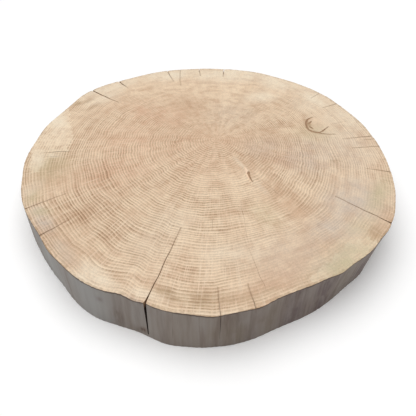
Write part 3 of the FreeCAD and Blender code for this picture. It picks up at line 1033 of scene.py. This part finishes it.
def end_grain(name, look, sanded):
    """Oak end grain: dense pale latewood, a line of open pores in each ring, and pale rays from the pith.

    Sanded, it is matt and clean, and its rings and rays show. Rough from the saw, it is greyer, with the
    saw's marks across it.
    """
    material, tree = new_tree(name)
    grown = add(tree, "Attribute", attribute_name="ring")["Fac"]
    along = add(tree, "Math", (grown, MEAN_RADIUS / look.rings), operation="MULTIPLY")[0]
    in_mm, polar, _ = unrolled(tree, along)
    line, rays = rings_and_rays(tree, look, grown, in_mm, polar)
    contrast = look.ring_contrast * (1.0 if sanded else 0.5)
    covers = end_grain_covers(tree, look, contrast, in_mm, polar, line, rays)
    marks = 0.0
    if not sanded:
        marks = saw_marks(tree, in_mm)
        covers.append((look.greying, add(tree, "MapRange", (marks, -1, 1, 0.3, 0.5))[0]))
    base = layered(tree, look.latewood, covers)
    grit = grains(tree, in_mm, (1.2, 1.2, 1.2), 0.2, 0.8, detail=3, roughness=0.6)
    shade = add(tree, "MapRange", (grit, 0, 1, 0.86, 1.08))[0]
    base = add(tree, "VectorMath", {0: base, "Scale": shade}, operation="SCALE")[0]
    relief = add(tree, "Math", (grit, line), operation="SUBTRACT")[0]
    relief = add(tree, "Math", (relief, marks), operation="ADD")[0]
    roughness = add(tree, "MapRange", (grit, 0, 1, 0.7, 0.86))[0]
    wood_surface(tree, base, roughness, relief, 0.12 if sanded else 0.3, 0.35)
    return material


def peeled_side(name, look):
    """Oak peeled of its bark and left to weather: dry grey brown, matt, with fibres down the trunk.

    A dark line of inner bark is left 1 to 2.4 mm under the sanded edge.
    """
    material, tree = new_tree(name)
    _, polar, height = unrolled(tree)
    masks = ("smooth", "umber_and_shade", "tawny", "blotch_and_shade")
    smooth, umber_and_shade, tawny, blotch_and_shade = (add(tree, "Attribute", attribute_name=mask)["Fac"] for mask in masks)
    rough = add(tree, "MapRange", (smooth, 0, 1, 1, 0.25))[0]
    fibres = grains(tree, polar, (2.6, 2.6, 70), 0.3, 0.7, detail=3, roughness=0.6)
    fibres = add(tree, "Math", (fibres, rough), operation="MULTIPLY")[0]
    patches = grains(tree, polar, (9, 9, 26), 0.3, 0.66, 0.3, 1, 4, 0.6)
    waver = grains(tree, polar, (7, 7, 90), 0.1, 0.9, -0.9, 0.9)
    under_edge = add(tree, "Math", (height, waver), operation="ADD")[0]
    covers = (
        (look.brown, grains(tree, polar, (15, 15, 90), 0.3, 0.7, 0.35), rough),
        (look.smooth, smooth, 0.85),
        # Purplish brown, and painted shade that darkens the front right of the side.
        (look.umber_and_shade, umber_and_shade, patches),
        (look.tawny, tawny, patches),
        (look.pale, fibres, 0.25),
        (look.blotch_and_shade, grains(tree, polar, (5, 5, 60), 0.4, 0.72, 0, 0.34), rough),
        (look.edge_line, grains(tree, polar, (1.1, 1.1, 40), 0.66, 0.78, 0, 0.3)),
        # Blotches of inner bark, and painted shade where the faint blotches darken the front right of the
        # side.
        (look.blotch_and_shade, blotch_and_shade, grains(tree, polar, (4, 4, 16), 0.3, 0.7, 0.28, 0.96, 3)),
        (look.edge_line, add(tree, "MapRange", (under_edge, TOP - 2.4, TOP - 1, 0, 0.75))[0]),
    )
    roughness = add(tree, "MapRange", (fibres, 0, 1, 0.66, 0.8))[0]
    wood_surface(tree, layered(tree, look.grey, covers), roughness, fibres, 0.25, 0.3)
    return material


def split_wood(name, look):
    """Wood inside a drying check: torn along the fibres, and browned at its mouth. Painted shade darkens
    its walls with depth, most below 9 mm.
    """
    material, tree = new_tree(name)
    in_mm, _, height = unrolled(tree)
    # Painted shade: the walls darken from 2.5 mm below the face to 9 mm and below, as a deep gap is shaded.
    deep = add(tree, "MapRange", (height, TOP - 9, TOP - 2.5, 1, 0))[0]
    torn = grains(tree, in_mm, (1.2, 1.2, 14), 0.3, 0.7, detail=3)
    base = layered(tree, look.split, ((look.split_fibres_and_depth_shade, deep), (look.split_fibres_and_depth_shade, torn, 0.35)))
    wood_surface(tree, base, 0.85, torn, 0.3, 0.2)
    return material


def torn_wood(name, look):
    """Wood where a splinter was torn off: pale, clean and fibrous."""
    material, tree = new_tree(name)
    in_mm, _, _ = unrolled(tree)
    fibres = grains(tree, in_mm, (0.9, 3, 0.9), 0.3, 0.7, 0, 0.3)
    wood_surface(tree, layered(tree, look.fresh, ((look.split, fibres),)), 0.75, fibres, 0.6, 0.3)
    return material


class OAKSLICE_OT_build_slice(bpy.types.Operator):
    """Builds the oak slice over the solid part, with its checks, knot and materials"""

    bl_idname = "oak_slice.build_slice"
    bl_label = "Build the slice"
    bl_options = {"REGISTER", "UNDO"}

    def execute(self, context):
        scene = context.scene
        shape, look, side_look = scene.oak_slice_shape, scene.oak_end_grain, scene.oak_side
        outline = Outline()
        mesh = closed_mesh("whole_slice", *slice_rows(shape, outline))
        for material in (
            end_grain("sanded_oak_end_grain", look, sanded=True),
            peeled_side("peeled_weathered_oak", side_look),
            end_grain("rough_sawn_oak_end_grain", look, sanded=False),
            split_wood("split_oak_in_checks", side_look),
            torn_wood("freshly_torn_oak", side_look),
        ):
            mesh.materials.append(material)
        piece = new_object(PIECE, mesh)
        lines = open_gaps(piece, shape, outline)
        paint_places(piece.data, outline, look, lines)
        lay_out_bake_map(piece.data)
        self.shade(piece.data)
        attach(piece, BODY)
        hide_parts(NODE)
        return {"FINISHED"}

    def shade(self, mesh):
        """Shades the worn faces smooth, and the torn walls of the gaps flat."""
        numbers = values_of(mesh.polygons, "material_index")
        mesh.shade_smooth()
        mesh.set_sharp_from_angle(angle=SHARP_ANGLE)
        mesh.polygons.foreach_set("use_smooth", numbers < SPLIT)


class OAKSLICE_OT_build_stage(bpy.types.Operator):
    """Builds the floor, the light and the camera"""

    bl_idname = "oak_slice.build_stage"
    bl_label = "Build the stage"
    bl_options = {"REGISTER", "UNDO"}

    def execute(self, context):
        scene = context.scene
        look = scene.oak_stage
        self.build_floor(scene, look)
        self.build_light(scene, look)
        self.build_camera(scene, look)
        scene.view_settings.view_transform = "Standard"
        return {"FINISHED"}

    def build_floor(self, scene, look):
        half = look.floor_size / 2
        mesh = bpy.data.meshes.new("floor")
        corners = [(-half, -half, 0), (half, -half, 0), (half, half, 0), (-half, half, 0)]
        mesh.from_pydata(corners, [], [(0, 1, 2, 3)])
        mesh.materials.append(self.floor_material(look))
        floor = new_object("floor", mesh)

    def background_rays(self, tree):
        """1 for rays from the camera and for what metal and glass would show of the background."""
        path = add(tree, "LightPath")
        shown = add(tree, "Math", (path["Is Camera Ray"], path["Is Glossy Ray"]), operation="MAXIMUM")[0]
        return add(tree, "Math", (shown, path["Is Transmission Ray"]), operation="MAXIMUM")[0]

    def floor_material(self, look):
        """Matt white painted board: no gloss. It is seen as pure white, and it keeps the slice's shadow."""
        material, tree = new_tree("matt_white_floor")
        seen = self.background_rays(tree)
        white = add(tree, "Mix", {0: seen, 6: look.floor, 7: look.seen_floor}, data_type="RGBA")[2]
        paint = add(tree, "BsdfDiffuse", {"Color": white})[0]
        lift = add(tree, "Math", (seen, look.lift), operation="MULTIPLY")[0]
        glow = add(tree, "Emission", {"Strength": lift})[0]
        both = add(tree, "AddShader", (paint, glow))[0]
        add(tree, "OutputMaterial", {"Surface": both})
        return material

    def build_light(self, scene, look):
        world = bpy.data.worlds.new("soft_white_room")
        world.use_nodes = True
        tree = world.node_tree
        tree.nodes.clear()
        strength = add(tree, "MapRange", (self.background_rays(tree), 0.0, 1.0, look.sky, 1.0))[0]
        sky = add(tree, "Background", {"Color": (1, 1, 1, 1), "Strength": strength})[0]
        add(tree, "OutputWorld", {"Surface": sky})
        scene.world = world
        lamp = bpy.data.lights.new("soft_lamp", "SUN")
        lamp.energy = look.lamp
        lamp.angle = look.lamp_spread
        holder = new_object("soft_lamp", lamp)
        rise, turn = look.lamp_elevation, look.lamp_bearing
        away = Vector((math.cos(turn) * math.cos(rise), math.sin(turn) * math.cos(rise), math.sin(rise)))
        holder.rotation_euler = away.to_track_quat("Z", "Y").to_euler()
        holder.location = away

    def build_camera(self, scene, look):
        data = bpy.data.cameras.new("camera")
        data.lens = look.lens_mm
        data.clip_start, data.clip_end = 0.01, 100
        camera = new_object("camera", data)
        camera.location = look.camera_place
        camera.rotation_euler = (math.pi / 2 - look.camera_pitch, 0, 0)
        scene.camera = camera


class OAKSLICE_PT_panel(bpy.types.Panel):
    """Lists the steps that build the slice"""

    bl_label = "Oak slice"
    bl_idname = "OAKSLICE_PT_panel"
    bl_space_type = "VIEW_3D"
    bl_region_type = "UI"
    bl_category = "Oak slice"

    def draw(self, context):
        for step in OPERATORS:
            self.layout.operator(step.bl_idname)
        for group in GROUPS:
            holder = getattr(context.scene, group)
            for name in holder.__annotations__:
                self.layout.prop(holder, name)


OPERATORS = (OAKSLICE_OT_build_slice, OAKSLICE_OT_build_stage)
GROUPS = {
    "oak_slice_shape": OakSliceShape,
    "oak_end_grain": OakEndGrainLook,
    "oak_side": OakSideLook,
    "oak_stage": OakStageLook,
}


def register():
    for made in (*GROUPS.values(), *OPERATORS, OAKSLICE_PT_panel):
        bpy.utils.register_class(made)
    for name, group in GROUPS.items():
        setattr(bpy.types.Scene, name, bpy.props.PointerProperty(type=group))


def unregister():
    for name in GROUPS:
        delattr(bpy.types.Scene, name)
    for made in (OAKSLICE_PT_panel, *reversed(OPERATORS), *reversed(list(GROUPS.values()))):
        bpy.utils.unregister_class(made)


def main():
    register()
    bpy.ops.oak_slice.build_slice()
    bpy.ops.oak_slice.build_stage()


if __name__ == "__main__":
    main()
